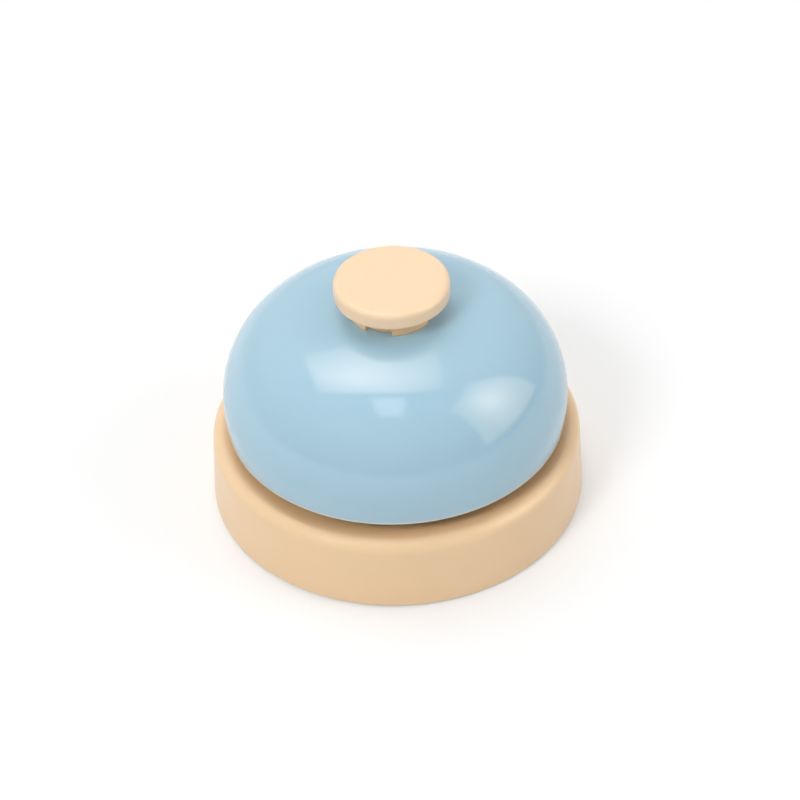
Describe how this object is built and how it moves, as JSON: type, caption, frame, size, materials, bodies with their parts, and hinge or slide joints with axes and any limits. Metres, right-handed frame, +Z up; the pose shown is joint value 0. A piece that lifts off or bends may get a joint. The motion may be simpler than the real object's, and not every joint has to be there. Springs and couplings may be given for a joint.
{
  "type": "pet training bell",
  "caption": "Push-button pet training bell: a cream mushroom button over a glossy sky-blue enamelled bell on a round cream base, with a plunger that swings a hammer inside.",
  "frame": {"origin": "middle of the underside, on the plane of the feet", "axes": "+Z up along the plunger, -Y towards the viewer, +X towards the hammer"},
  "size_m": [0.07, 0.07, 0.0481],
  "materials": {
    "cream_shell": "satin",
    "cream_button": "satin",
    "cream_inner": "matte",
    "blue_enamel": "gloss",
    "grey_rubber": "matte",
    "black_rubber": "matte",
    "zinc_steel": "satin",
    "spring_steel": "satin"
  },
  "bodies": {
    "base": {"base_housing": "cream_shell", "base_cover": "cream_inner", "cover_screws": "zinc_steel", "rubber_feet": "grey_rubber", "centre_post": "cream_inner", "post_screws": "zinc_steel", "cushion_washer": "black_rubber", "bell_dome": "blue_enamel", "dome_nut": "cream_shell", "spring_washer": "zinc_steel", "return_spring": "spring_steel", "hammer_pin": "zinc_steel", "pin_clip": "spring_steel", "hammer_bumper": "black_rubber"},
    "button": {"button_cap": "cream_button", "plunger_rod": "zinc_steel", "plunger_clip": "spring_steel"},
    "hammer": {"hammer_lever": "zinc_steel", "hammer_head": "zinc_steel", "hammer_push_nut": "spring_steel"}
  },
  "joints": [
    {"name": "button_press", "type": "slide", "parent": "base", "child": "button", "axis": [0, 0, -1], "range_m": [0, 0.003], "stiffness_N_per_m": 450, "springref_m": -0.002, "deforming": ["return_spring"]},
    {"name": "hammer_swing", "type": "hinge", "parent": "base", "child": "hammer", "pos_m": [0.0066, 0, 0.0298], "axis": [0, -1, 0], "range_deg": [0, 27.05]}
  ],
  "couplings": [
    {"joint": "hammer_swing", "follows": "button_press", "rad_per_m": 157.29}
  ]
}
